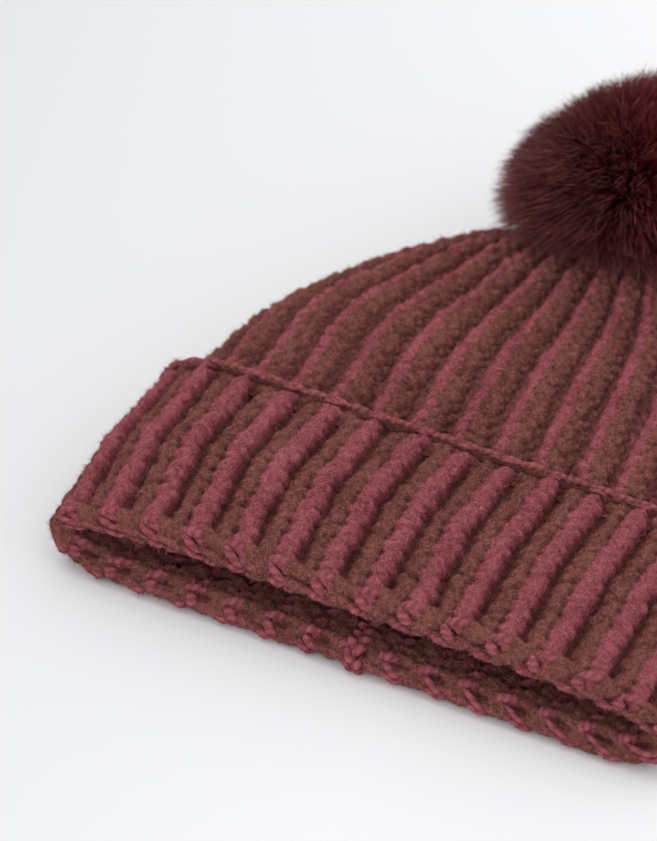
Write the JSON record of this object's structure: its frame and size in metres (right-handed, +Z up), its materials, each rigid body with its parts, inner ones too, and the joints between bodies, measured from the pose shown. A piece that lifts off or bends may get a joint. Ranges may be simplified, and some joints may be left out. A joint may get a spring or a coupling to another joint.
{
  "type": "pom pom beanie",
  "caption": "Chunky rib-knit beanie lying flat, with a turned-up cuff, a drawn-up crown and a faux-fur pom held by a press stud.",
  "frame": {"origin": "centre of the hat's outline on the surface that it lies on", "axes": "+Z up from the table, +X along the brim to the wearer's left as the front lies up, +Y from the brim to the crown"},
  "size_m": [0.24, 0.2721, 0.099],
  "materials": {
    "two_colour_knit": "felted brown and rose yarn, purl side, matte",
    "two_colour_knit_cuff": "felted brown and rose yarn, ribbed, matte",
    "rose_yarn": "matte wool blend yarn",
    "seam_yarn": "matte wool blend yarn",
    "felt": "pressed felt",
    "stud_metal": "dull antique plating",
    "spring_wire": "drawn wire",
    "sewing_thread": "polyester thread",
    "fur_backing": "knitted fur backing",
    "fibre_filling": "polyester fibre",
    "faux_fur": "long burgundy pile with dark roots"
  },
  "bodies": {
    "hat": {"knitted_body": "two_colour_knit", "turned_up_cuff": "two_colour_knit_cuff", "cast_on_edge": "rose_yarn", "back_seam": "seam_yarn", "gathering_yarn": "seam_yarn", "backing_disc": "felt", "stud_socket": "stud_metal", "socket_stitches": "sewing_thread"},
    "stud_spring": {"socket_spring": "spring_wire"},
    "pom": {"stud_post": "stud_metal", "post_stitches": "sewing_thread", "pom_base_disc": "felt", "pom_skin": "fur_backing", "pom_filling": "fibre_filling", "pom_drawstring": "sewing_thread", "pom_fur": "faux_fur"}
  },
  "joints": [
    {"name": "pom_spin", "type": "hinge", "parent": "hat", "child": "stud_spring", "pos_m": [0, 0.06655, 0.034], "axis": [0, 0.7071, 0.7071], "continuous": true},
    {"name": "pom_pull_off", "type": "slide", "parent": "stud_spring", "child": "pom", "axis": [0, 0.7071, 0.7071], "range_m": [0, 0.03]}
  ]
}
